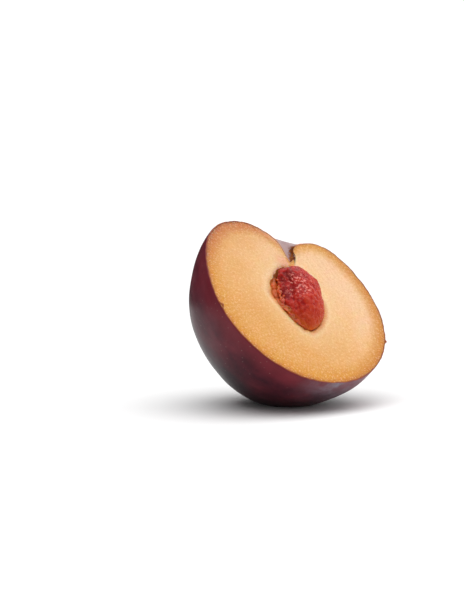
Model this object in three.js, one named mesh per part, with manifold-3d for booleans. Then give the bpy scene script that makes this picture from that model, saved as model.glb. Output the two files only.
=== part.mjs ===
// Half of a ripe black plum, cut along its seam, with the stone still in its socket.
// It rests on its skin with the cut face tilted up, on the small flat spot that its weight presses.
// Millimetres, +Z up. The origin is the middle of that flat spot, and the cut face looks towards -Y.
//
// Two pieces: the fruit, which is flesh and skin grown as one, and the loose stone.
// Both are shaped in the fruit's own frame: +X across the cut face, +Y towards the stem,
// +Z out of the cut face, with the middle of the cut face at zero.

import * as THREE from "three";
import { mergeGeometries, mergeVertices } from "three/addons/utils/BufferGeometryUtils.js";
import Module from "manifold-3d";

const wasm = await Module();
wasm.setup();

// The fruit: half sizes before the swellings, and how deep the half is behind its cut face.
const HALF_WIDTH = 30.1;
const HALF_HEIGHT = 30.3;
const DEPTH = 33.6;

// The hollow that the stem grew in: a bowl, longer along the seam than across it, and a narrow pit.
// Depths are shares of the radius there, and spreads are degrees from the stem axis.
const STEM_BOWL = { depth: 0.3, spread: 19.5, longer: 2.3 };
const STEM_PIT = { depth: 0.21, spread: 4.6 };

// Where the fruit is fuller than an ellipsoid: a direction, millimetres of rise and degrees of spread.
const SWELLINGS = [
  { name: "left shoulder", towards: [-0.79, 0.61, 0], rise: 2.7, spread: 24 },
  { name: "left cheek", towards: [-0.86, 0.14, -0.5], rise: 1.6, spread: 28 },
  { name: "right cheek", towards: [0.98, -0.17, 0], rise: 1.3, spread: 38 },
  { name: "back shoulder", towards: [0, 0.95, -0.31], rise: 1.6, spread: 14 },
  { name: "resting cheek", towards: [0.2, -0.42, -0.88], rise: 2, spread: 30 },
];

// The seam's shallow groove runs down the right edge of the cut, from the stem to the tip.
const SEAM = { depth: 0.9, spread: 13 };

// How the half lies: the tilt of its cut face from level, and the turn of the stem in that face.
const FACE_TILT = 49.4;
const STEM_TURN = 19.9;
const CENTRE_OVER_FOOT = [-0.4, -5.4, 32];

// The stone: almond-shaped, blunt towards the stem and pointed at the other end.
const STONE = { length: 23.6, width: 14, thickness: 10.2, centre: [1.3, 0.4], lean: 4 };
const STONE_KEEL = 0.5;

// Relief on the stone, as shares of its thickness there: a groove beside the left keel, and pits.
const STONE_GROOVE = { depth: 0.16, at: 0.78, spread: 0.1 };
const STONE_PITS = { depth: 0.045, across: 3.1 };

// The socket is the stone's own shape, wider all round and pulled open towards the left.
const SOCKET_GAP = { side: 1.8, end: 0.5, floor: 0.4, left: 1.4 };
const NO_GAP = { side: 0, end: 0, floor: 0, left: 0 };

// How finely the curved faces are split.
const RIM_STEPS = 96;
const SKIN_RINGS = 26;
const STONE_STEPS = 44;
const STONE_RINGS = 30;

const radians = THREE.MathUtils.degToRad;

// One at the middle, falling smoothly to nothing over a few spreads.
const bell = (distance, spread) => Math.exp(-((distance / spread) ** 2));

function angleBetween(a, b) {
  return THREE.MathUtils.radToDeg(a.angleTo(b));
}

// The fruit's radius in one direction from the middle of the cut face.
function fruitRadius(direction) {
  const { x, y, z } = direction;
  const stem = new THREE.Vector3(0, 1, 0);
  const stemAngle = angleBetween(direction, stem);
  const bowlAngle = angleBetween(new THREE.Vector3(x, y, STEM_BOWL.longer * z), stem);
  const ellipsoid = 1 / Math.hypot(x / HALF_WIDTH, y / HALF_HEIGHT, z / DEPTH);
  const hollow =
    STEM_BOWL.depth * bell(bowlAngle, STEM_BOWL.spread) +
    STEM_PIT.depth * bell(stemAngle, STEM_PIT.spread);
  let radius = ellipsoid * (1 - hollow);
  for (const { towards, rise, spread } of SWELLINGS) {
    radius += rise * bell(angleBetween(direction, new THREE.Vector3(...towards)), spread);
  }
  // The seam lies in the cut face, so behind the face the cheek rises out of its groove.
  const seamAngle = THREE.MathUtils.radToDeg(Math.atan2(-z, x));
  const besideSeam = (1 - bell(seamAngle, SEAM.spread)) * bell(seamAngle, 3 * SEAM.spread);
  return radius + SEAM.depth * besideSeam * Math.sin(radians(stemAngle));
}

// Moves every vertex of a geometry in place.
function reshape(geometry, move) {
  const position = geometry.getAttribute("position");
  const point = new THREE.Vector3();
  for (let i = 0; i < position.count; i++) {
    move(point.fromBufferAttribute(position, i));
    position.setXYZ(i, point.x, point.y, point.z);
  }
  geometry.deleteAttribute("normal");
  geometry.deleteAttribute("uv");
  return geometry;
}

// Turns an angle round the rim, in whole steps from the stem, into one with more steps at the stem.
function crowdedToStem(angle) {
  const even = (Math.round((angle / (2 * Math.PI)) * RIM_STEPS) * 2 * Math.PI) / RIM_STEPS;
  return even - 0.45 * Math.sin(even);
}

// The fruit's skin, as rings from the deepest point of the back to the rim of the cut.
function skinGeometry() {
  const dome = new THREE.SphereGeometry(1, RIM_STEPS, SKIN_RINGS, 0, 2 * Math.PI, 0, Math.PI / 2);
  return reshape(dome, (point) => {
    const around = crowdedToStem(Math.atan2(point.x, point.z));
    const fromRim = (Math.PI / 2) * Math.pow(Math.asin(Math.min(point.y, 1)) / (Math.PI / 2), 1.3);
    const level = Math.cos(fromRim);
    point.set(level * Math.sin(around), level * Math.cos(around), -Math.sin(fromRim));
    point.multiplyScalar(fruitRadius(point.clone()));
  });
}

// The flat cut face, a fan from its middle to the same rim.
function cutFaceGeometry() {
  const disc = new THREE.CircleGeometry(1, RIM_STEPS);
  return reshape(disc, (point) => {
    if (point.length() < 0.5) return;
    const around = crowdedToStem(Math.atan2(point.x, point.y));
    point.set(Math.sin(around), Math.cos(around), 0);
    point.multiplyScalar(fruitRadius(point.clone()));
  });
}

// The stone's half width along it, for an angle that runs from its stem end to its point.
function stoneTaper(angle) {
  const towardsPoint = (1 - Math.cos(angle)) / 2;
  return Math.pow(Math.sin(angle), 0.8 + 0.6 * towardsPoint);
}

// The stone, or with gaps the socket that it lies in, about the stone's own middle.
function stoneGeometry(gap, worn) {
  const ball = new THREE.SphereGeometry(1, STONE_STEPS, STONE_RINGS);
  return reshape(ball, (point) => {
    const along = Math.acos(THREE.MathUtils.clamp(point.y, -1, 1));
    const around = Math.atan2(point.z, point.x);
    const taper = stoneTaper(along);
    // The section is a lens that comes to a blunt keel on both sides.
    const lens = Math.pow(Math.abs(Math.cos(around)), 1.1) * Math.sign(Math.cos(around));
    const rise = Math.pow(Math.abs(Math.sin(around)), 1.1) * Math.sign(Math.sin(around));
    const keel = STONE_KEEL * Math.pow(Math.abs(Math.cos(around)), 12) * Math.sign(Math.cos(around));
    const x = ((STONE.width / 2 + gap.side) * lens + keel - gap.left) * taper;
    const y = (STONE.length / 2 + gap.end) * point.y;
    const wave = (2 * Math.PI) / STONE_PITS.across;
    const pits = Math.sin(wave * x + Math.sin(y)) * Math.sin(wave * y + Math.cos(x));
    const groove = bell(lens + STONE_GROOVE.at, STONE_GROOVE.spread);
    const relief = worn ? STONE_PITS.depth * pits + STONE_GROOVE.depth * groove : 0;
    const z = (STONE.thickness / 2 + gap.floor) * rise * taper * (1 - relief);
    point.set(x, y, z);
  });
}

// Puts a stone-shaped geometry where the stone lies in the cut face.
function laidInFace(geometry) {
  geometry.rotateZ(radians(STONE.lean));
  return geometry.translate(...STONE.centre, 0);
}

// A closed geometry as a solid that can be cut.
function solidOf(geometry) {
  const closed = mergeVertices(geometry, 1e-3);
  return new wasm.Manifold(
    new wasm.Mesh({
      numProp: 3,
      vertProperties: closed.getAttribute("position").array,
      triVerts: new Uint32Array(closed.getIndex().array),
    }),
  );
}

// A solid as a geometry with flat-shaded faces.
function geometryOf(solid) {
  const { vertProperties, triVerts } = solid.getMesh();
  const indexed = new THREE.BufferGeometry()
    .setAttribute("position", new THREE.BufferAttribute(vertProperties, 3))
    .setIndex(new THREE.BufferAttribute(triVerts, 1));
  const geometry = indexed.toNonIndexed();
  geometry.computeVertexNormals();
  return geometry;
}

// Where the fruit's own frame lies over the surface that it rests on.
const halfPlum = new THREE.Group();
halfPlum.position.set(...CENTRE_OVER_FOOT);
halfPlum.rotation.set(radians(FACE_TILT), 0, -radians(STEM_TURN), "XYZ");
halfPlum.updateMatrix();

// Everything below the surface, as a block in the fruit's own frame.
function underTheSurface() {
  const size = 4 * DEPTH;
  const block = new THREE.BoxGeometry(size, size, size).translate(0, 0, -size / 2);
  block.applyMatrix4(halfPlum.matrix.clone().invert());
  block.deleteAttribute("normal");
  block.deleteAttribute("uv");
  return block;
}

const whole = solidOf(mergeGeometries([skinGeometry(), cutFaceGeometry()]));
const socket = solidOf(laidInFace(stoneGeometry(SOCKET_GAP, false)));
const fruit = whole.subtract(socket).subtract(solidOf(underTheSurface()));

const fruitMesh = new THREE.Mesh(
  geometryOf(fruit),
  new THREE.MeshStandardMaterial({ color: 0x4a2433, roughness: 0.35, metalness: 0 }),
);
fruitMesh.name = "plum_half";

const stoneMesh = new THREE.Mesh(
  geometryOf(solidOf(laidInFace(stoneGeometry(NO_GAP, true)))),
  new THREE.MeshStandardMaterial({ color: 0x9c2f2c, roughness: 0.45, metalness: 0 }),
);
stoneMesh.name = "stone";

halfPlum.add(fruitMesh, stoneMesh);

const plum = new THREE.Group();
plum.add(halfPlum);

export default plum;
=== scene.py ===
import math

import bmesh
import bpy
import numpy as np
from mathutils import Euler, Matrix, Vector, noise


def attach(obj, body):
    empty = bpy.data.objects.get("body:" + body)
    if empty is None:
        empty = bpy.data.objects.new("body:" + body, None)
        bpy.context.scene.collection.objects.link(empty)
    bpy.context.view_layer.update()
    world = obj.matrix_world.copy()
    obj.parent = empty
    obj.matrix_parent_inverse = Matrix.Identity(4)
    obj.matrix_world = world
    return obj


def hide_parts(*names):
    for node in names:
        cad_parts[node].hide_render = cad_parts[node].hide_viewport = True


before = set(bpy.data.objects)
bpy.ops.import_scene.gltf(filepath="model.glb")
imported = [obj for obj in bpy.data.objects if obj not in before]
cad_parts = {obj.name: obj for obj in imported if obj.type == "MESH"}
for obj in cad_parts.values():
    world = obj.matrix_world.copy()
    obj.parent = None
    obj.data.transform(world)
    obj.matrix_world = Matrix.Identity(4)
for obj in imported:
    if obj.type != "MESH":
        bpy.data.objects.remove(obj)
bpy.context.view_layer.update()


# The studio: a white paper table in a white room, photographed from just above the table's level.
# A wide soft light hangs overhead and a little in front, so the shadow gathers under the fruit.

MM = 0.001
FRUIT_CENTRE = Vector((-0.4, -5.4, 32.0)) * MM
CAMERA = {"azimuth": math.radians(-40.586), "elevation": math.radians(5), "distance": 450 * MM, "lens": 90.2}
FRUIT_IN_VIEW = {"right": 19.715 * MM, "above": 0.246 * MM}
SOFTBOX = {"across": 1.3, "along": 1.1, "energy": 6.4, "above": 0.75, "before": 0.06, "right": 0.02}
ROOM_LIGHT = {"behind": 1.05, "before": 0.28, "seen": 1.1, "at_flag": 0.06}
TABLE_RADIUS = 0.28
PAPER_WHITE = "#fcfcfc"

# A MapRange node takes a value, the range that it comes from, and the range that it is brought to.
SMOOTH = {"interpolation_type": "SMOOTHSTEP"}
TIMES = {"operation": "MULTIPLY"}
ALONG = {"operation": "DOT_PRODUCT"}


def linear(hex_colour):
    """A colour picked on a screen, as the light values that the shaders reckon in."""
    parts = [int(hex_colour[i : i + 2], 16) / 255 for i in (1, 3, 5)]
    return (*[p / 12.92 if p <= 0.04045 else ((p + 0.055) / 1.055) ** 2.4 for p in parts], 1.0)


def add(tree, kind, settings=None, inputs=None, stops=()):
    """Adds a node: its settings, its inputs by name or in order, and a ramp's stops.

    An input is a number, a vector, a hex colour, a socket, or a node that feeds it from its first output.
    """
    node = tree.nodes.new("ShaderNode" + kind)
    for name, value in (settings or {}).items():
        setattr(node, name, value)
    inputs = inputs or {}
    for name, value in inputs.items() if isinstance(inputs, dict) else enumerate(inputs):
        if isinstance(value, bpy.types.Node):
            value = next(output for output in value.outputs if output.enabled)
        if isinstance(value, bpy.types.NodeSocket):
            tree.links.new(value, node.inputs[name])
        else:
            node.inputs[name].default_value = linear(value) if isinstance(value, str) else value
    for _ in stops[2:]:
        node.color_ramp.elements.new(0.5)
    for element, (position, colour) in zip(node.color_ramp.elements if stops else (), stops):
        element.position = position
        element.color = linear(colour)
    return node


def material(name):
    """A new empty material, and its tree of nodes."""
    made = bpy.data.materials.new(name)
    made.use_nodes = True
    made.node_tree.nodes.clear()
    return made, made.node_tree


def aimed(thing, place, target):
    """Puts a camera or a light at a place, facing a target."""
    thing.location = place
    thing.rotation_euler = (target - place).to_track_quat("-Z", "Y").to_euler()
    bpy.context.scene.collection.objects.link(thing)


sight = Vector((
    math.sin(CAMERA["azimuth"]) * math.cos(CAMERA["elevation"]),
    -math.cos(CAMERA["azimuth"]) * math.cos(CAMERA["elevation"]),
    math.sin(CAMERA["elevation"]),
))
right = Vector((math.cos(CAMERA["azimuth"]), math.sin(CAMERA["azimuth"]), 0))
view_centre = FRUIT_CENTRE - right * FRUIT_IN_VIEW["right"] - Vector((0, 0, FRUIT_IN_VIEW["above"]))
camera = bpy.data.objects.new("camera", bpy.data.cameras.new("camera"))
camera.data.lens = CAMERA["lens"]
camera.data.clip_start = 0.01
aimed(camera, view_centre + sight * CAMERA["distance"], view_centre)
bpy.context.scene.camera = camera
bpy.context.scene.view_settings.view_transform = "Standard"

# The room is white behind the fruit and overhead, and dim on the camera's side. It is dark in one place
# beyond the left of the picture, as a black flag makes it, which keeps that side of the fruit dark.
room = bpy.data.worlds.new("white_room")
room.use_nodes = True
tree = room.node_tree
tree.nodes.clear()
outwards = add(tree, "TexCoord").outputs["Generated"]
towards_wall = (Vector((0, 0, 1.1)) - sight + right * 0.6).normalized()
facing_wall = add(tree, "VectorMath", ALONG, (outwards, towards_wall))
wall = add(tree, "MapRange", inputs=(facing_wall, 0.1, 0.9, ROOM_LIGHT["before"], ROOM_LIGHT["behind"]))
towards_flag = (-sight * 0.6 - right * 0.8).normalized()
facing_flag = add(tree, "VectorMath", ALONG, (outwards, towards_flag))
flag = add(tree, "MapRange", SMOOTH, (facing_flag, 0.55, 0.82, 1.0, ROOM_LIGHT["at_flag"]))
lit = add(tree, "Background", inputs=("#ffffff", add(tree, "Math", TIMES, (wall, flag))))
seen = add(tree, "Background", inputs=("#ffffff", ROOM_LIGHT["seen"]))
behind = add(tree, "MixShader", inputs=(add(tree, "LightPath").outputs["Is Camera Ray"], lit, seen))
add(tree, "OutputWorld", inputs={"Surface": behind})
bpy.context.scene.world = room

overhead = bpy.data.objects.new("overhead_softbox", bpy.data.lights.new("overhead_softbox", "AREA"))
overhead.data.shape = "RECTANGLE"
overhead.data.size = SOFTBOX["across"]
overhead.data.size_y = SOFTBOX["along"]
overhead.data.energy = SOFTBOX["energy"]
hangs = FRUIT_CENTRE + sight * SOFTBOX["before"] + right * SOFTBOX["right"] + Vector((0, 0, SOFTBOX["above"]))
aimed(overhead, hangs, FRUIT_CENTRE)

table = bpy.data.meshes.new("table")
bm = bmesh.new()
bmesh.ops.create_circle(bm, cap_ends=True, segments=96, radius=TABLE_RADIUS)
bm.to_mesh(table)
bm.free()
table_top = bpy.data.objects.new("table_top", table)
bpy.context.scene.collection.objects.link(table_top)

# Smooth white paper: matt and even, so under this light it is as white as the wall behind.
white, tree = material("white_paper")
add(tree, "OutputMaterial", inputs={"Surface": add(tree, "BsdfDiffuse", inputs={"Color": PAPER_WHITE})})
table.materials.append(white)


# The skin of the half: a waxy membrane a third of a millimetre thick, grown to the flesh.
# The knife has cut it off at the rim, where its edge shows as a thin, slightly wavy brown line.

# Its form, as the CAD has it. Directions are in the fruit's own axes: +X across the cut,
# +Y towards the stem, +Z out of the cut. Lengths are in millimetres and spreads in degrees.
HALF_WIDTH = 30.1
HALF_HEIGHT = 30.3
DEPTH = 33.6
STEM_BOWL = {"depth": 0.3, "spread": 19.5, "longer": 2.3}
STEM_PIT = {"depth": 0.21, "spread": 4.6}
STEM_POCKET = {"at": 17.6, "deep": 1.5, "spread": 1.7, "ends": 6}
SWELLINGS = (
    {"towards": (-0.79, 0.61, 0), "rise": 2.7, "spread": 24},
    {"towards": (-0.86, 0.14, -0.5), "rise": 1.6, "spread": 28},
    {"towards": (0.98, -0.17, 0), "rise": 1.3, "spread": 38},
    {"towards": (0, 0.95, -0.31), "rise": 1.6, "spread": 14},
    {"towards": (0.2, -0.42, -0.88), "rise": 2, "spread": 30},
)
SEAM = {"depth": 0.9, "spread": 13}
FACE_TILT = math.radians(49.4)
STEM_TURN = math.radians(19.9)
fruit_turn = Matrix.Rotation(FACE_TILT, 3, "X") @ Matrix.Rotation(-STEM_TURN, 3, "Z")

SKIN_THICKNESS = 0.3
# How finely it is split, how far its steps crowd to the stem, and the share of rings that line its inside.
AROUND = 448
SKIN_RINGS = 220
CROWDING = 0.45
INSIDE_OF_SKIN = 0.15


def bell(distance, spread):
    """One at the middle, falling smoothly to nothing over a few spreads."""
    return np.exp(-((distance / spread) ** 2))


def angle_to(points, axis):
    """Degrees between each point's direction and an axis."""
    along = points @ np.array(axis, float) / np.linalg.norm(axis)
    return np.degrees(np.arccos(np.clip(along / np.linalg.norm(points, axis=1), -1, 1)))


def fruit_radius(d):
    """How far the skin is from the middle of the cut, along unit directions."""
    stem_angle = angle_to(d, (0, 1, 0))
    bowl_angle = angle_to(d * (1, 1, STEM_BOWL["longer"]), (0, 1, 0))
    ellipsoid = 1 / np.linalg.norm(d / (HALF_WIDTH, HALF_HEIGHT, DEPTH), axis=1)
    hollow = STEM_BOWL["depth"] * bell(bowl_angle, STEM_BOWL["spread"])
    hollow += STEM_PIT["depth"] * bell(stem_angle, STEM_PIT["spread"])
    radius = ellipsoid * (1 - hollow)
    for s in SWELLINGS:
        radius += s["rise"] * bell(angle_to(d, s["towards"]), s["spread"])
    seam_angle = np.degrees(np.arctan2(-d[:, 2], d[:, 0]))
    beside_seam = (1 - bell(seam_angle, SEAM["spread"])) * bell(seam_angle, 3 * SEAM["spread"])
    return radius + SEAM["depth"] * beside_seam * np.sin(np.radians(stem_angle))


def direction(around, from_back):
    """Unit directions behind the cut: an angle round from the stem, and one up from the deepest point."""
    level = np.sin(from_back)
    return np.stack([level * np.sin(around), level * np.cos(around), -np.cos(from_back)], 1)


def fruit_surface(around, from_back, under):
    """Points on the skin, or under it by so many millimetres along its own normal."""
    step = 1e-3
    from_back = np.maximum(from_back, 1e-4)
    centre, ahead, above = (
        d * fruit_radius(d)[:, None]
        for d in (
            direction(around, from_back),
            direction(around + step / np.maximum(np.sin(from_back), 0.02), from_back),
            direction(around, from_back + step),
        )
    )
    outward = np.cross(above - centre, ahead - centre)
    outward /= np.linalg.norm(outward, axis=1)[:, None]
    outward *= np.sign((outward * centre).sum(1))[:, None]
    points = centre - outward * np.reshape(under, (-1, 1))
    # The stem tore a small pocket into the right wall at the bottom of its pit.
    x, y, z = points.T
    in_pit = np.clip(x, 0, 1) * np.clip((STEM_POCKET["ends"] - x) / 3, 0, 1) * bell(z, 4)
    points[:, 0] += STEM_POCKET["deep"] * bell(y - STEM_POCKET["at"], STEM_POCKET["spread"]) * in_pit
    return points


def crowded_to_stem(around):
    """Spends more of the steps round the rim at the stem's narrow hollow."""
    return around - CROWDING * np.sin(around)


def relief(points, wavelength, octaves, seed):
    """Natural unevenness, about -1 to 1, at points in millimetres, with its largest waves this long."""
    shifted = points / wavelength + np.array((seed, 1.7 * seed, 2.3 * seed))
    return np.array([noise.fractal(p, 1.0, 2.0, octaves) for p in shifted.tolist()])


def shaped(name, around, rings, place, sits=True):
    """A closed piece, pressed into shape from a sphere.

    The place function turns its unit points into millimetres in the fruit's own axes, with marks to keep
    on them for the materials. A piece that sits is kept above the table.
    """
    bm = bmesh.new()
    bmesh.ops.create_uvsphere(bm, u_segments=around // 4, v_segments=rings // 4, radius=1)
    bmesh.ops.subdivide_edges(bm, edges=bm.edges, cuts=3, use_grid_fill=True)
    mesh = bpy.data.meshes.new(name)
    bm.to_mesh(mesh)
    bm.free()
    unit = np.empty(len(mesh.vertices) * 3, np.float32)
    mesh.vertices.foreach_get("co", unit)
    unit = unit.reshape(-1, 3).astype(float)
    unit /= np.linalg.norm(unit, axis=1)[:, None]
    spots, marks = place(unit)
    world = spots @ np.array(fruit_turn).T * MM + np.array(FRUIT_CENTRE)
    if sits:
        world[:, 2] = np.maximum(world[:, 2], 0)
    mesh.vertices.foreach_set("co", world.astype(np.float32).ravel())
    for mark, values in marks.items():
        kind = "FLOAT_VECTOR" if values.ndim == 2 else "FLOAT"
        layer = mesh.attributes.new(mark, kind, "POINT")
        layer.data.foreach_set("vector" if values.ndim == 2 else "value", values.astype(np.float32).ravel())
    mesh.shade_smooth()
    mesh.update()
    piece = bpy.data.objects.new(name, mesh)
    bpy.context.scene.collection.objects.link(piece)
    return piece


# Where cloudy bloom still lies, and at the lower right a painted reflection of the white table, how uneven
# the skin is, and where the knife nicked the rim or turned up a flap of skin, in degrees round from the stem.
BLOOM_AND_SHEEN_PATCHES = (
    {"towards": (-0.79, -0.5, -0.35), "amount": 0.06, "spread": 17},
    {"towards": (-0.95, 0.1, -0.3), "amount": 0.1, "spread": 20},
    # Painted reflection: the grey sheen that the white table would throw on the lower right skin.
    {"towards": (0.33, -0.94, -0.02), "amount": 1.1, "spread": 17},
    {"towards": (0.3, 0.2, -0.93), "amount": 0.3, "spread": 26},
    {"towards": (0.9, 0.1, -0.45), "amount": 0.3, "spread": 24},
)
LUMPS = ({"deep": 0.16, "wide": 14, "seed": 0}, {"deep": 0.012, "wide": 1.6, "seed": 5})
CREASES = {"deep": 0.15, "crowding": 9.6, "long": 60, "at": 16, "spread": 9}
RIM_WAVES = {"inward": 0.009, "long": 2.4, "upward": 0.06, "short": 0.9}
RIM_NICKS = ({"at": -109.7, "inward": 0.9, "wide": 1.2}, {"at": 105.3, "inward": -0.5, "wide": 1.0})
NICK_RISE = 0.25
STEM_AXIS = (0.08, 1, 0.02)


def skin_place(unit):
    """Presses the sphere into the skin: its lower rings line the inside, the others are the outside."""
    around = crowded_to_stem(np.arctan2(unit[:, 0], unit[:, 1]))
    ring = np.round(np.arccos(np.clip(unit[:, 2], -1, 1)) / math.pi * SKIN_RINGS)
    lining = round(INSIDE_OF_SKIN * SKIN_RINGS)
    inside = ring <= lining
    from_back = np.where(inside, ring / lining, (SKIN_RINGS - ring) / (SKIN_RINGS - lining - 1)) * math.pi / 2
    spots = fruit_surface(around, from_back, np.where(inside, SKIN_THICKNESS, 0))
    stem = angle_to(spots, STEM_AXIS)
    # Faint creases run along the meridians, from the stem to the tip.
    turn = np.arctan2(spots[:, 0], -spots[:, 2])
    crowding = CREASES["crowding"]
    meridian = np.stack([crowding * np.sin(turn), crowding * np.cos(turn), stem / CREASES["long"]], 1)
    creases = relief(meridian, 1, 2, 2) * bell(stem - CREASES["at"], CREASES["spread"])
    lumps = sum(k["deep"] * relief(spots, k["wide"], 2, k["seed"]) for k in LUMPS)
    lumps += CREASES["deep"] * creases
    spots += (spots / np.linalg.norm(spots, axis=1)[:, None]) * np.where(inside, 0, lumps)[:, None]
    rim = from_back > math.pi / 2 - 1e-6
    waves = np.clip(0.5 + relief(spots[rim], RIM_WAVES["long"], 3, 15), 0, 1)
    spots[rim, :2] *= 1 - RIM_WAVES["inward"] * waves[:, None]
    spots[rim, 2] = RIM_WAVES["upward"] * relief(spots[rim], RIM_WAVES["short"], 3, 9)
    for nick in RIM_NICKS:
        folded = bell(np.degrees(around[rim]) - nick["at"], nick["wide"])
        spots[rim, :2] -= direction(around[rim], from_back[rim])[:, :2] * (nick["inward"] * folded)[:, None]
        spots[rim, 2] += NICK_RISE * folded
    bloom_and_sheen = sum(p["amount"] * bell(angle_to(spots, p["towards"]), p["spread"]) for p in BLOOM_AND_SHEEN_PATCHES)
    return spots, {"from_stem": stem, "from_cut": -spots[:, 2], "bloom_and_sheen": bloom_and_sheen}


skin = shaped("plum_skin", AROUND, SKIN_RINGS, skin_place)
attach(skin, "root")

# Ripe plum skin under its bloom: dark pigment below a clear waxy cuticle, so a deep purple-red
# with a soft gloss, greyed in cloudy patches by the bloom and at the lower right by a painted reflection,
# and specked with fine pale pores.
# Its patterns are so many millimetres across. The cells of its cork and the fine grain of its cuticle are
# really under a tenth of a millimetre and too fine to show, so they are drawn coarser.
SKIN_GRAIN = {"clouds": 11, "wisps": 6.2, "pores": 1.8, "cork": 0.83, "fine": 0.45}
PIGMENT = ((0.3, "#2a0b18"), (0.43, "#441220"), (0.55, "#5c1b29"), (0.68, "#732833"))
CORK = ((0.35, "#4a2206"), (0.52, "#74380c"), (0.68, "#9a5416"))
TIMES_PLUS = {"operation": "MULTIPLY_ADD"}
COLOURS = {"data_type": "RGBA"}  # The two colours of such a Mix node are its inputs 6 and 7.

# Object coordinates turned into the fruit's own axes, in millimetres.
out_of_turn = fruit_turn.transposed()
IN_FRUIT = {
    "Location": -(out_of_turn @ FRUIT_CENTRE) / MM,
    "Rotation": out_of_turn.to_euler(),
    "Scale": (1 / MM, 1 / MM, 1 / MM),
}

waxy_skin, tree = material("waxy_plum_skin")
spot = add(tree, "Mapping", inputs={"Vector": add(tree, "TexCoord").outputs["Object"], **IN_FRUIT})
from_stem = add(tree, "Attribute", {"attribute_name": "from_stem"}).outputs["Fac"]
from_cut = add(tree, "Attribute", {"attribute_name": "from_cut"}).outputs["Fac"]
bloom_and_sheen = add(tree, "Attribute", {"attribute_name": "bloom_and_sheen"}).outputs["Fac"]

lengthwise = add(tree, "Mapping", inputs={"Vector": spot, "Scale": (1, 0.45, 1)})
clouds = {"Vector": lengthwise, "Scale": 1 / SKIN_GRAIN["clouds"], "Detail": 5, "Roughness": 0.55}
colour = add(tree, "ValToRGB", inputs=(add(tree, "TexNoise", inputs=clouds),), stops=PIGMENT)
wisps = {"Vector": spot, "Scale": 1 / SKIN_GRAIN["wisps"], "Detail": 6, "Roughness": 0.65}
cloudy = add(tree, "MapRange", inputs=(add(tree, "TexNoise", inputs=wisps), 0.4, 0.7, 0.3, 1.3))
patches = add(tree, "Math", {**TIMES, "use_clamp": True}, (bloom_and_sheen, cloudy))
in_hollow = add(tree, "MapRange", inputs=(from_stem, 8, 24, 0.8, 0.0))
powder_and_glare = add(tree, "Math", TIMES, (in_hollow, cloudy))
pores = add(tree, "TexVoronoi", inputs={"Vector": spot, "Scale": 1 / SKIN_GRAIN["pores"]})
lip = add(tree, "Mix", COLOURS, {
    0: add(tree, "MapRange", inputs=(from_stem, 12, 40, 1.0, 0.0)),
    6: "#a5562c",
    7: "#e09a74",
})
cork = add(tree, "TexNoise", inputs={"Vector": spot, "Scale": 1 / SKIN_GRAIN["cork"], "Detail": 4})
ragged = add(tree, "Math", TIMES_PLUS, (cork, -5.0, 2.5))
from_scar = add(tree, "Math", {"operation": "ADD"}, (from_stem, ragged))
scar = add(tree, "MapRange", SMOOTH, (from_scar, 2.9, 5.3, 1.0, 0.0))

for covering, tint in (
    # The flesh glows through just below the rim. Away from the rim the skin darkens nearly to black, as
    # painted shade for the back of the half, which faces the table.
    (add(tree, "MapRange", SMOOTH, (from_cut, 1.0, 9.0, 0.55, 0.0)), "#822932"),
    (add(tree, "MapRange", SMOOTH, (from_cut, 5.0, 24.0, 0.0, 0.68)), "#180711"),
    # Bloom greys the skin in patches, and the lower right patch is a painted reflection of the table.
    (patches, "#877b85"),
    # Bloom that nothing rubs off lies thick in the stem's hollow, and its pale lavender there is also painted
    # glare of the overhead light on the hollow's far wall.
    (add(tree, "Math", {**TIMES_PLUS, "use_clamp": True}, (in_hollow, 0.6, powder_and_glare)), "#a88b8a"),
    (add(tree, "MapRange", inputs=(pores, 0.06, 0.12, 0.35, 0.0)), "#a08078"),
    # The knife's edge through the skin shows its thickness, and the stem left a corky scar.
    (add(tree, "MapRange", inputs=(from_cut, 0.0, 0.12, 0.9, 0.0)), lip),
    (scar, add(tree, "ValToRGB", inputs=(cork,), stops=CORK)),
):
    colour = add(tree, "Mix", COLOURS, {0: covering, 6: colour, 7: tint})
dull = add(tree, "MapRange", inputs=(patches, 0.0, 0.7, 0.33, 0.55))
fine = add(tree, "TexNoise", inputs={"Vector": spot, "Scale": 1 / SKIN_GRAIN["fine"], "Detail": 3})
cuticle = add(tree, "BsdfPrincipled", inputs={
    "Base Color": colour,
    "Roughness": add(tree, "Math", TIMES_PLUS, (scar, 0.45, dull)),
    "IOR": 1.36,
    "Specular IOR Level": 0.24,
    "Normal": add(tree, "Bump", inputs={"Strength": 0.12, "Distance": 0.1 * MM, "Height": fine}),
})
add(tree, "OutputMaterial", inputs={"Surface": cuticle})
skin.data.materials.append(waxy_skin)


# The flesh of the half: juicy, slightly see-through tissue, cut flat by the knife, with the socket
# that the stone lies in. Near the skin it darkens to orange-brown, and at the stone it is stained red.

STONE = {"length": 23.6, "width": 14, "thickness": 10.2, "centre": (1.3, 0.4), "lean": math.radians(4)}
STONE_KEEL = 0.5
SOCKET_GAP = {"side": 1.8, "end": 0.5, "floor": 0.4, "left": 1.4}
# How far the torn flesh closes in on the stone: on the left towards its point and its stem end, on the
# right towards its point, and past the tip. Then how ragged the socket is, how grainy the cut, and how
# rounded the edges.
CLOSING = {"point": 3.05, "stem_end": 1.6, "right": 0.5, "tip": 0.45}
TORN = {"edge": 0.3, "wall": 0.2}
CUT_GRAIN = ({"deep": 0.07, "wide": 9, "seed": 3}, {"deep": 0.05, "wide": 1.2, "seed": 5})
ROUNDED = {"rim": 0.1, "socket": 0.35}
FLESH_RINGS = 216
RINGS_TO = {"socket": 0.24, "cut": 0.82}


def stone_taper(along):
    """The stone's width along it, for an angle from its stem end to its point."""
    return np.sin(along) ** (0.8 + 0.6 * (1 - np.cos(along)) / 2)


def laid_in_face(x, y, z):
    """Millimetres about the stone's own middle, carried to where it lies in the cut."""
    lean = STONE["lean"]
    return np.stack([
        x * math.cos(lean) - y * math.sin(lean) + STONE["centre"][0],
        x * math.sin(lean) + y * math.cos(lean) + STONE["centre"][1],
        z,
    ], 1)


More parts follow.
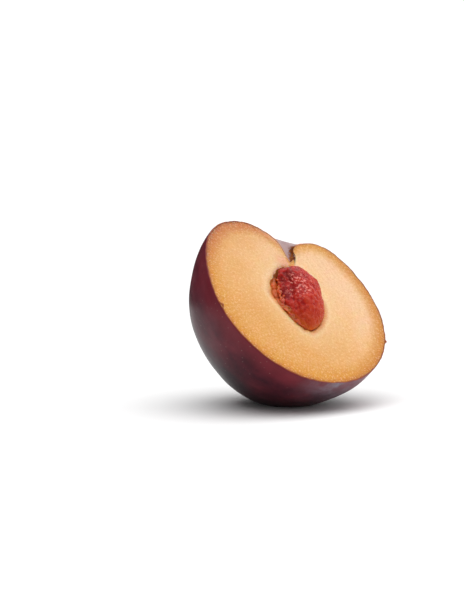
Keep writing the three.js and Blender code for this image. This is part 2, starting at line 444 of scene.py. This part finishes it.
def socket_edge(around):
    """The socket's outline in the cut, torn a little, for an angle round from its stem end."""
    along = np.abs(around)
    round_it = np.stack([np.sin(around), np.cos(around), 0 * around], 1)
    torn = TORN["edge"] * relief(round_it, 0.22, 4, 6) * np.clip(1 - np.sin(around), 0.35, 1.6)
    half = (STONE["width"] / 2 + SOCKET_GAP["side"] + STONE_KEEL) * np.sign(around) - SOCKET_GAP["left"]
    closing = CLOSING["point"] * np.clip((along - 1.55) / 0.75, 0, 1)
    closing += CLOSING["stem_end"] * np.clip(1.2 - along, 0, 1)
    closing = np.where(around < 0, closing, -CLOSING["right"] * np.clip((along - 1.7) / 0.5, 0, 1))
    length = STONE["length"] / 2 + SOCKET_GAP["end"] - CLOSING["tip"] * (along > math.pi / 2)
    return (half + closing) * stone_taper(along) + torn * np.sin(around), (length + torn) * np.cos(along)


def flesh_place(unit):
    """Presses the sphere into the flesh: rings in the socket, then across the cut, then under the skin."""
    around = crowded_to_stem(np.arctan2(unit[:, 0], unit[:, 1]))
    ring = np.round(np.arccos(np.clip(unit[:, 2], -1, 1)) / math.pi * FLESH_RINGS)
    socket_rings = round(RINGS_TO["socket"] * FLESH_RINGS)
    cut_rings = round(RINGS_TO["cut"] * FLESH_RINGS)
    edge_x, edge_y = socket_edge(around)
    # The socket is a bowl from its deepest point out to its edge, with a straighter slope at the left.
    out = np.minimum(ring / socket_rings, 1)
    bowl = np.sin(out * math.pi / 2)
    middle = -SOCKET_GAP["left"]
    straight = 2 - 0.85 * np.clip(-np.sin(around), 0, 1)
    deep = -(STONE["thickness"] / 2 + SOCKET_GAP["floor"]) * (1 - bowl**straight) ** (1 / straight)
    spots = laid_in_face(middle + (edge_x - middle) * bowl, edge_y * bowl, deep)
    # The cut is flat from the socket's edge out to the skin, and the flesh reaches a tenth of the way into
    # the skin, so that no gap shows between them.
    from_back = np.minimum((FLESH_RINGS - ring) / (FLESH_RINGS - cut_rings), 1) * math.pi / 2
    dome = fruit_surface(around, from_back, 0.9 * SKIN_THICKNESS)
    rim = dome * (1, 1, 0)
    across = np.clip((ring - socket_rings) / (cut_rings - socket_rings), 0, 1)
    edge = laid_in_face(edge_x, edge_y, 0 * edge_x)
    cut = edge + (rim - edge) * across[:, None]
    reach = np.linalg.norm((rim - edge)[:, :2], axis=1)
    to_skin = reach * (1 - across)
    to_stone = reach * across
    in_socket = ring <= socket_rings
    on_cut = ~in_socket & (ring <= cut_rings)
    spots = np.where(on_cut[:, None], cut, np.where(in_socket[:, None], spots, dome))
    # The knife leaves a juicy grain, and the edges are rounded.
    grain = sum(g["deep"] * relief(spots, g["wide"], 3, g["seed"]) for g in CUT_GRAIN)
    rounded = -ROUNDED["rim"] * np.exp(-to_skin / 0.3) - ROUNDED["socket"] * np.exp(-to_stone / 0.35)
    spots[:, 2] += np.where(on_cut, grain + rounded, 0)
    torn = TORN["wall"] * relief(spots * (1, 1, 0.5), 1.6, 4, 7)
    spots[:, 2] += np.where(in_socket, torn * bowl - ROUNDED["socket"] * out**8, 0)
    marks = {
        "to_skin": to_skin,
        "to_stone": np.where(in_socket, 0, to_stone),
        "depth": np.where(in_socket, -deep, 0),
        # Fibres run outwards from the stone, so this measures millimetres across them at the rim.
        "fibre": HALF_WIDTH * np.stack([np.sin(around), np.cos(around), 0.12 * across], 1),
    }
    return spots, marks


flesh = shaped("plum_flesh", AROUND, FLESH_RINGS, flesh_place)
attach(flesh, "root")
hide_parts("plum_half")
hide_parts("plum_half")

# Ripe plum flesh, wet with its juice: light scatters a few millimetres through it, which softens
# the cut's colours. It is golden at the left and the tip, creamy towards the stem at the right,
# burnt orange just under the skin, pale round the stone and stained red inside the socket. Painted
# highlights ring the socket's edge and the lit rim where the hollow's slope begins, and painted glints
# speck the wet juice cells.
# Its patterns are so many millimetres across. Its threads and cells are really a tenth to a quarter of a
# millimetre across and too fine to show, so they are drawn coarser.
FLESH_GRAIN = {
    "ripeness": 7.7, "streaks": 1.6, "threads": 0.8, "cells": 0.67, "coarse": 1.25, "stain": 1.4, "pulp": 0.62,
}
GOLDEN = ((0.05, "#e4a556"), (0.35, "#e8ae6a"), (0.6, "#efbd85"), (0.9, "#f3c9a0"))
BLUSH_AND_LIT_RIM = {"above_stone": (-2, 14, 0), "on_slope": (-5, 20, 0)}
APART = {"operation": "DISTANCE"}

cut_flesh, tree = material("juicy_plum_flesh")
spot = add(tree, "Mapping", inputs={"Vector": add(tree, "TexCoord").outputs["Object"], **IN_FRUIT})
to_skin = add(tree, "Attribute", {"attribute_name": "to_skin"}).outputs["Fac"]
to_stone = add(tree, "Attribute", {"attribute_name": "to_stone"}).outputs["Fac"]
depth = add(tree, "Attribute", {"attribute_name": "depth"}).outputs["Fac"]
fibre = add(tree, "Attribute", {"attribute_name": "fibre"}).outputs["Vector"]
sideways, stemwards, _ = add(tree, "SeparateXYZ", inputs=(spot,)).outputs

patchy = add(tree, "TexNoise", inputs={"Vector": spot, "Scale": 1 / FLESH_GRAIN["ripeness"], "Detail": 3})
ripe = add(tree, "Math", TIMES_PLUS, (sideways, 0.014, 0.25))
ripe = add(tree, "Math", TIMES_PLUS, (stemwards, 0.02, ripe))
ripe = add(tree, "Math", TIMES_PLUS, (patchy, 0.5, ripe))
colour = add(tree, "ValToRGB", inputs=(ripe,), stops=GOLDEN)

# The left shoulder is darker than the rest of the cut, most of all at its rim.
shoulder = add(tree, "Math", TIMES_PLUS, (sideways, -0.6, stemwards))
shoulder = add(tree, "MapRange", SMOOTH, (shoulder, 16, 34, 0.0, 1.0))
tanned = add(tree, "Mix", COLOURS, {0: shoulder, 6: "#dc951e", 7: "#c4661a"})
burnt = add(tree, "Mix", COLOURS, {0: shoulder, 6: "#be5c0c", 7: "#8e3a0e"})
# Pigment from the skin is drawn inwards along the fibres.
streaks = {"Vector": fibre, "Scale": 1 / FLESH_GRAIN["streaks"], "Detail": 4, "Roughness": 0.6}
drawn_in = add(tree, "Math", TIMES_PLUS, (add(tree, "TexNoise", inputs=streaks), -3.0, 1.5))
from_rim = add(tree, "Math", {"operation": "ADD"}, (to_skin, drawn_in))
# The stone's juice stains what touches it, most of all towards its point.
touching = add(tree, "MapRange", SMOOTH, (to_stone, 0.2, 2.3, 1.0, 0.0))
pointwards = add(tree, "MapRange", SMOOTH, (stemwards, -4, 6, 0.9, 0.35))
# It blushes between the stone and the stem, and where the left rim slopes into the hollow it is pink, partly
# as painted highlight on that lit rim.
blush = add(tree, "VectorMath", APART, (spot, BLUSH_AND_LIT_RIM["above_stone"]))
slope = add(tree, "VectorMath", APART, (spot, BLUSH_AND_LIT_RIM["on_slope"]))
slope = add(tree, "MapRange", SMOOTH, (slope, 3, 8, 0.75, 0.0))
at_rim = add(tree, "MapRange", SMOOTH, (to_skin, 0.5, 3.0, 1.0, 0.0))
# The rim is tanned deeper at the right.
right_side = add(tree, "MapRange", SMOOTH, (sideways, 6, 24, 0.0, 1.0))
tan = add(tree, "MapRange", SMOOTH, (to_skin, 0.0, 6.5, 0.6, 0.0))
threads = add(tree, "TexNoise", inputs={"Vector": fibre, "Scale": 1 / FLESH_GRAIN["threads"], "Detail": 3})
cells = {"Vector": spot, "Scale": 1 / FLESH_GRAIN["cells"], "Detail": 5, "Roughness": 0.75}
cells = add(tree, "TexNoise", inputs=cells)
coarse = {"Vector": spot, "Scale": 1 / FLESH_GRAIN["coarse"], "Detail": 4, "Roughness": 0.7}
coarse = add(tree, "MapRange", SMOOTH, (add(tree, "TexNoise", inputs=coarse), 0.36, 0.5, 1.0, 0.0))
near_rim = add(tree, "MapRange", SMOOTH, (to_skin, 2, 10, 0.4, 0.0))
stain = add(tree, "TexNoise", inputs={"Vector": spot, "Scale": 1 / FLESH_GRAIN["stain"], "Detail": 4})
stain = add(tree, "MapRange", SMOOTH, (stain, 0.4, 0.6, 1.0, 0.0))

for covering, tint in (
    (add(tree, "Math", TIMES, (shoulder, 0.7)), "#dc9c4c"),
    # It is paler towards the stone, with a near-white painted highlight ringing the socket's edge, stained
    # where it touches it, and blushed at its top.
    (add(tree, "MapRange", SMOOTH, (to_stone, 1.0, 10.0, 0.6, 0.0)), "#f4ca94"),
    # Painted highlight: a near-white ring where the socket's rounded edge catches the light.
    (add(tree, "MapRange", SMOOTH, (to_stone, 0.2, 3.4, 0.8, 0.0)), "#fbe2b8"),
    (add(tree, "Math", TIMES, (touching, pointwards)), "#d97f26"),
    (add(tree, "MapRange", SMOOTH, (blush, 0.5, 5.0, 0.6, 0.0)), "#ea9678"),
    # The outermost millimetres are tanned and then burnt, but pink where the hollow's slope begins, a pink
    # that is partly painted highlight on the lit rim there.
    (add(tree, "MapRange", SMOOTH, (from_rim, 0.6, 6.6, 0.95, 0.0)), tanned),
    (add(tree, "MapRange", SMOOTH, (from_rim, -0.5, 1.8, 0.8, 0.0)), burnt),
    (add(tree, "Math", TIMES, (slope, at_rim)), "#f0a884"),
    (add(tree, "Math", TIMES, (right_side, tan)), "#cc7a22"),
    # The fibres and the juice cells between them are a shade lighter and darker, and the palest specks on the
    # cells are painted glints of their wet surface.
    (add(tree, "MapRange", SMOOTH, (threads, 0.35, 0.65, 0.0, 0.08)), "#fbd9a0"),
    (add(tree, "MapRange", SMOOTH, (cells, 0.3, 0.5, 0.35, 0.0)), "#c98a44"),
    # Painted glints: the palest specks on the wet juice cells.
    (add(tree, "MapRange", SMOOTH, (cells, 0.5, 0.66, 0.0, 0.5)), "#ffe2b4"),
    (add(tree, "Math", TIMES, (near_rim, coarse)), "#d0872e"),
    # Inside the socket it is stained orange, and deeper down red.
    (add(tree, "MapRange", SMOOTH, (depth, 0.0, 0.5, 0.0, 0.85)), "#cf6a1e"),
    (
        add(tree, "MapRange", SMOOTH, (depth, 1.0, 3.4, 0.0, 0.9)),
        add(tree, "Mix", COLOURS, {0: stain, 6: "#d4561a", 7: "#b43a14"}),
    ),
):
    colour = add(tree, "Mix", COLOURS, {0: covering, 6: colour, 7: tint})
beaded = {"Vector": spot, "Scale": 1 / FLESH_GRAIN["pulp"], "Smoothness": 0.6}
beaded = add(tree, "TexVoronoi", {"feature": "SMOOTH_F1"}, beaded)
height = add(tree, "Math", {"operation": "ADD"}, (beaded, cells))
tissue = add(tree, "BsdfPrincipled", inputs={
    "Base Color": colour,
    "Roughness": 0.36,
    "IOR": 1.38,
    "Specular IOR Level": 0.38,
    "Subsurface Weight": 1.0,
    "Subsurface Radius": (1.0, 0.45, 0.18),
    "Subsurface Scale": 1.4 * MM,
    "Normal": add(tree, "Bump", inputs={"Strength": 0.5, "Distance": 0.12 * MM, "Height": height}),
})
add(tree, "OutputMaterial", inputs={"Surface": tissue})
flesh.data.materials.append(cut_flesh)


# The stone: a hard woody almond, keeled on both sides, rough with pits and ridges.
# It is wet with red juice, and lies loose in its socket with a gap at its left.

STONE_AROUND = 400
STONE_RINGS = 240
# Millimetres of relief, and how strongly each kind of it lightens the colour.
STONE_RELIEF = {"pits": 0.2, "ridges": 0.08, "beads": 0.15, "grain": 0.14, "lengthwise": 0.14}
STONE_SHADES = {"pits": 0.6, "beads": 0.8, "ridges": 0.2, "lengthwise": 0.6}
STONE_GROOVE = {"deep": 0.5, "at": 0.78, "spread": 0.1}
SLIMMER_POINT = 0.08
# Corners that the almond is drawn out to: places about its own middle, and millimetres of rise.
STONE_CORNERS = (
    {"at": (4.2, 4.6), "rise": 1.0, "spread": 2.6},
    {"at": (-4.6, 7.4), "rise": 2.2, "spread": 3.0},
    {"at": (-1.5, -3.5), "rise": 0.5, "spread": 2.8},
)


def stone_place(unit):
    """Presses the sphere into the stone, with its poles at its two ends."""
    along = np.arccos(np.clip(unit[:, 2], -1, 1))
    around = np.arctan2(-unit[:, 1], unit[:, 0])
    taper = stone_taper(along)
    lens = np.abs(np.cos(around)) ** 1.1 * np.sign(np.cos(around))
    rise = np.abs(np.sin(around)) ** 1.1 * np.sign(np.sin(around))
    keel = STONE_KEEL * np.abs(np.cos(around)) ** 12 * np.sign(np.cos(around))
    own = np.stack([
        (STONE["width"] / 2 * lens + keel) * taper,
        STONE["length"] / 2 * unit[:, 2],
        STONE["thickness"] / 2 * rise * taper,
    ], 1)
    outward = own / (1, 4, 1)
    outward /= np.linalg.norm(outward, axis=1)[:, None] + 1e-9
    proud = np.clip(own[:, 2] / 2 + 0.5, 0, 1) * taper
    lift = sum(
        c["rise"] * bell(np.linalg.norm(own[:, :2] - c["at"], axis=1), c["spread"]) for c in STONE_CORNERS
    )
    waves = {
        "pits": relief(own * (1, 0.7, 1), 2.1, 3, 4),
        "ridges": 1 - 3 * np.abs(relief(own, 3.4, 2, 11)),
        "beads": relief(own, 1.3, 2, 17),
        "grain": relief(own, 0.7, 3, 13),
        "lengthwise": relief(own * (1, 0.25, 1), 1.0, 2, 31),
    }
    rough = sum(height * waves[kind] for kind, height in STONE_RELIEF.items())
    shades = sum(share * waves[kind] for kind, share in STONE_SHADES.items())
    groove = STONE_GROOVE["deep"] * bell(lens + STONE_GROOVE["at"], STONE_GROOVE["spread"]) * (own[:, 2] > 0)
    own += outward * ((lift + rough - groove) * proud)[:, None]
    # Its point is a little slimmer than the CAD's, as the photograph shows it.
    own[:, 0] *= 1 - SLIMMER_POINT * np.clip((along - 2.1) / 0.8, 0, 1)
    return laid_in_face(*own.T), {"pits": shades, "along": along}


stone = shaped("plum_stone", STONE_AROUND, STONE_RINGS, stone_place, sits=False)
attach(stone, "root")
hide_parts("stone")

# Lignified stone soaked in dark red juice: crimson in the pits, brick red on the ridges,
# orange at the point where flesh clings to it, with wet glints on the roughness and painted pink glints
# left of its middle. Its grit is so many millimetres across.
STONE_GRIT = 0.9
STONE_RED = ((0.0, "#840a0c"), (0.35, "#b41a14"), (0.65, "#c4301a"), (1.0, "#c94626"))
STUCK_PULP_AND_GLINTS = (-1.5, 2, 5)

wet_stone, tree = material("wet_plum_stone")
spot = add(tree, "Mapping", inputs={"Vector": add(tree, "TexCoord").outputs["Object"], **IN_FRUIT})
along = add(tree, "Attribute", {"attribute_name": "along"}).outputs["Fac"]
pits = add(tree, "Attribute", {"attribute_name": "pits"}).outputs["Fac"]
sideways, stemwards, upwards = add(tree, "SeparateXYZ", inputs=(spot,)).outputs
lifted = add(tree, "MapRange", SMOOTH, (pits, -0.8, 1.0, 0.2, 0.72))
lifted = add(tree, "Math", TIMES_PLUS, (sideways, 0.04, lifted))
lifted = add(tree, "Math", TIMES_PLUS, (stemwards, -0.015, lifted))
colour = add(tree, "ValToRGB", inputs=(lifted,), stops=STONE_RED)
grit = add(tree, "TexNoise", inputs={"Vector": spot, "Scale": 1 / STONE_GRIT, "Detail": 5, "Roughness": 0.7})
# Pulp still sticks to it in pink crumbs, most of them left of its middle, where the palest pink is also
# painted glints on the wet stone.
stuck_and_glinting = add(tree, "VectorMath", APART, (spot, STUCK_PULP_AND_GLINTS))
stuck_and_glinting = add(tree, "MapRange", SMOOTH, (stuck_and_glinting, 1.8, 6.5, 1.0, 0.15))
stuck_and_glinting = add(tree, "Math", TIMES, (stuck_and_glinting, add(tree, "MapRange", SMOOTH, (grit, 0.52, 0.59, 0.0, 1.0))))
# Where its point leaves the flesh it is still wrapped in a film of it.
at_point = add(tree, "MapRange", SMOOTH, (along, 1.7, 2.3, 0.0, 0.9))
film = add(tree, "Math", TIMES, (at_point, add(tree, "MapRange", SMOOTH, (upwards, 0.3, 1.6, 1.0, 0.0))))
for covering, tint in (
    (add(tree, "MapRange", SMOOTH, (along, 1.9, 2.8, 0.0, 0.7)), "#c04a18"),
    (film, "#d0601c"),
    (stuck_and_glinting, "#ee9488"),
):
    colour = add(tree, "Mix", COLOURS, {0: covering, 6: colour, 7: tint})
wet_wood = add(tree, "BsdfPrincipled", inputs={
    "Base Color": colour,
    "Roughness": add(tree, "MapRange", SMOOTH, (grit, 0.35, 0.65, 0.45, 0.2)),
    "IOR": 1.4,
    "Specular IOR Level": 0.22,
    "Subsurface Weight": 0.5,
    "Subsurface Radius": (1.0, 0.3, 0.2),
    "Subsurface Scale": 0.8 * MM,
    "Normal": add(tree, "Bump", inputs={"Strength": 0.8, "Distance": 0.3 * MM, "Height": grit}),
})
add(tree, "OutputMaterial", inputs={"Surface": wet_wood})
stone.data.materials.append(wet_stone)


# Pulp that tore off the flesh at the stone's left when the half was pulled open: orange pulp that
# fills the gap, a wet ragged fringe along the stone's edge, and a few crumbs. It is still grown there.

# Angles along the stone from its stem end, places out from its keel and above it at both ends of a
# strand, and sizes in millimetres.
STRAND = {"start": 0.7, "length": 2.2}
GAP_PULP = {"out": (1.2, 0.3), "up": (-1.8, -0.6), "thick": 1.5, "wild": 0.35}
FRINGE = {"out": (0.1, 0.4), "up": (0.1, 0.3), "thick": 0.5, "wild": 0.9}
GAP_MARKS = {"to_skin": 20, "to_stone": 0, "depth": 2.4}
CRUMBS = {"count": 11, "start": 0.95, "length": 1.45, "size": 0.42}


def beside_stone(along, out, up):
    """Beside the stone's left keel, for an angle from its stem end, about the stone's own middle."""
    half = STONE["width"] / 2 + STONE_KEEL
    return np.stack([-half * stone_taper(along) - out, STONE["length"] / 2 * np.cos(along), up + 0 * along], 1)


def strand(unit, out, up, thick, wild):
    """A ragged strand of pulp along the stone's left side, so far out from its keel and above it."""
    share = np.arccos(np.clip(unit[:, 2], -1, 1)) / math.pi
    around = np.arctan2(unit[:, 1], unit[:, 0])
    along = STRAND["start"] + STRAND["length"] * share
    path = beside_stone(along, np.interp(share, (0, 1), out), np.interp(share, (0, 1), up))
    radius = thick * np.sin(share * math.pi) ** 0.4 * (1 + wild * relief(path, 1.6, 3, 21))
    path += np.stack([radius * np.cos(around), 0 * around, 0.8 * radius * np.sin(around)], 1)
    path[:, 0] += 0.6 * wild * relief(path, 1.1, 3, 23)
    path[:, 2] += 0.6 * wild * relief(path, 1.3, 3, 29)
    return laid_in_face(*path.T)


def gap_pulp_place(unit):
    """The gap's pulp carries the flesh's own marks, so that it takes the colour of the socket's wall."""
    spots = strand(unit, **GAP_PULP)
    return spots, {mark: np.full(len(spots), float(value)) for mark, value in GAP_MARKS.items()}


def fringe_place(unit):
    """The fringe follows the stone's edge, and its material needs no marks."""
    return strand(unit, **FRINGE), {}


gap_pulp = shaped("gap_pulp", 48, 240, gap_pulp_place, sits=False)
gap_pulp.data.materials.append(cut_flesh)
fringe = shaped("torn_fringe", 48, 240, fringe_place, sits=False)

bm = bmesh.new()
for step in range(CRUMBS["count"]):
    wander = [noise.noise(Vector((step * 1.37, k * 3.1, 0.5))) for k in range(6)]
    along = np.array([CRUMBS["start"] + CRUMBS["length"] * step / (CRUMBS["count"] - 1)])
    start = beside_stone(along, 0.3 * wander[0] - 0.3, 0.5 + 0.3 * wander[1])
    middle = fruit_turn @ Vector(laid_in_face(*start.T)[0])
    lie = Euler([3 * w for w in wander[2:5]]).to_matrix().to_4x4()
    size = CRUMBS["size"] + 0.3 * wander[5]
    stretch = Matrix.Diagonal((size, 0.7 * size, 1.5 * size, 1))
    for vert in bmesh.ops.create_icosphere(bm, subdivisions=4, radius=1)["verts"]:
        torn = 1 + 0.7 * noise.fractal(vert.co * 1.3 + Vector((step * 3.7, 0, 0)), 1, 2, 3)
        vert.co = FRUIT_CENTRE + MM * (Matrix.Translation(middle) @ lie @ stretch @ (torn * vert.co))
crumb_mesh = bpy.data.meshes.new("pulp_crumbs")
bm.to_mesh(crumb_mesh)
bm.free()
crumb_mesh.shade_smooth()
crumbs = bpy.data.objects.new("pulp_crumbs", crumb_mesh)
bpy.context.scene.collection.objects.link(crumbs)
for pulp in (gap_pulp, fringe, crumbs):
    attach(pulp, "root")

# Torn flesh soaked in juice is more see-through than the cut face: pinkish orange in patches two
# millimetres across, with bright glints.
BLUSH_PATCH = 2.0

torn_flesh, tree = material("torn_plum_flesh")
spot = add(tree, "Mapping", inputs={"Vector": add(tree, "TexCoord").outputs["Object"], **IN_FRUIT})
blush = add(tree, "TexNoise", inputs={"Vector": spot, "Scale": 1 / BLUSH_PATCH, "Detail": 3})
blush = add(tree, "MapRange", SMOOTH, (blush, 0.4, 0.62, 1.0, 0.0))
shreds = add(tree, "BsdfPrincipled", inputs={
    "Base Color": add(tree, "Mix", COLOURS, {0: blush, 6: "#d06a32", 7: "#cc5a42"}),
    "Roughness": 0.16,
    "IOR": 1.38,
    "Subsurface Weight": 1.0,
    "Subsurface Radius": (1.0, 0.4, 0.2),
    "Subsurface Scale": 1.0 * MM,
})
add(tree, "OutputMaterial", inputs={"Surface": shreds})
for pulp in (fringe, crumbs):
    pulp.data.materials.append(torn_flesh)
